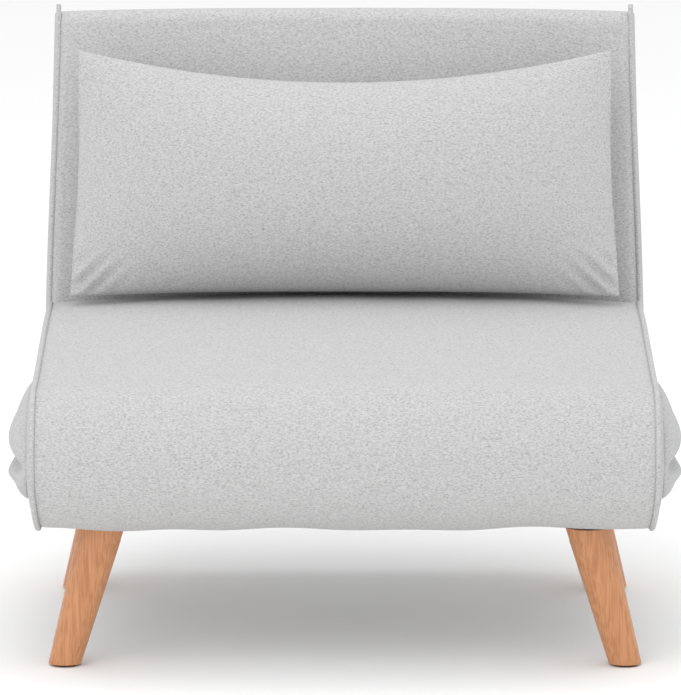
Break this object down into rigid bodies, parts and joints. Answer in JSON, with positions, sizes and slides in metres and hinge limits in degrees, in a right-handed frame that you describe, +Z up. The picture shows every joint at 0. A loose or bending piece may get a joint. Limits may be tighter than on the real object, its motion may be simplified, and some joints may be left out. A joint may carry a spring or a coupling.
{
  "type": "convertible chair bed",
  "caption": "Grey fabric chair that folds out to a single bed: ratchet backrest, hinged foot section with fold-out support leg, four splayed beech legs and a loose pillow.",
  "frame": {"origin": "middle of the bounding box in plan, on the floor under the four leg glides", "axes": "+Z up, the seat's front faces -Y, +X to the right of a viewer who faces the front"},
  "size_m": [0.8046, 0.8129, 0.7458],
  "materials": {
    "fabric_grey": "matte woven marl",
    "beech": "satin lacquer",
    "painted_steel": "satin black powder coat",
    "zinc_steel": "zinc plated",
    "glide_plastic": "matte"
  },
  "bodies": {
    "base": {"back_pivot_left": "zinc_steel", "back_pivot_right": "zinc_steel", "base_cross_rail": "painted_steel", "base_rail_left": "painted_steel", "base_rail_right": "painted_steel", "front_hinge_pins": "zinc_steel", "leg_bolts": "zinc_steel", "leg_front_left": "beech", "leg_front_right": "beech", "leg_glides": "glide_plastic", "leg_plates": "zinc_steel", "leg_rear_left": "beech", "leg_rear_right": "beech", "nose_pad": "fabric_grey", "ratchet_plate_left": "zinc_steel", "ratchet_plate_right": "zinc_steel", "seat_hinge_lugs": "zinc_steel", "seat_pad": "fabric_grey", "seat_slats": "beech", "seat_tube_front": "painted_steel", "seat_tube_left": "painted_steel", "seat_tube_rear": "painted_steel", "seat_tube_right": "painted_steel", "side_gather_left": "fabric_grey", "side_gather_right": "fabric_grey"},
    "back": {"back_arm_left": "zinc_steel", "back_arm_right": "zinc_steel", "back_pad": "fabric_grey", "back_rear_cover": "fabric_grey", "back_slats": "beech", "back_tube_left": "painted_steel", "back_tube_right": "painted_steel", "back_tube_top": "painted_steel"},
    "foot": {"foot_hinge_lugs": "zinc_steel", "foot_pad": "fabric_grey", "foot_slats": "beech", "foot_tube_end": "painted_steel", "foot_tube_front": "painted_steel", "foot_tube_left": "painted_steel", "foot_tube_right": "painted_steel", "fold_leg_pins": "zinc_steel"},
    "fold_leg": {"fold_leg": "painted_steel"},
    "pillow": {"pillow": "fabric_grey"}
  },
  "joints": [
    {"name": "back_recline", "type": "hinge", "parent": "base", "child": "back", "pos_m": [0, 0.29153, 0.286], "axis": [-1, 0, 0], "range_deg": [0, 78]},
    {"name": "foot_unfold", "type": "hinge", "parent": "base", "child": "foot", "pos_m": [0, -0.30847, 0.262], "axis": [-1, 0, 0], "range_deg": [0, 179.9], "deforming": ["nose_pad", "foot_pad"]},
    {"name": "fold_leg_swing", "type": "hinge", "parent": "foot", "child": "fold_leg", "pos_m": [0, 0.12853, 0.253], "axis": [-1, 0, 0], "range_deg": [0, 90]},
    {"name": "pillow_lift", "type": "slide", "parent": "back", "child": "pillow", "axis": [0, 0.2079, 0.9781], "range_m": [0, 0.25]}
  ],
  "couplings": [
    {"joint": "fold_leg_swing", "follows": "foot_unfold", "ratio": 0.5}
  ]
}
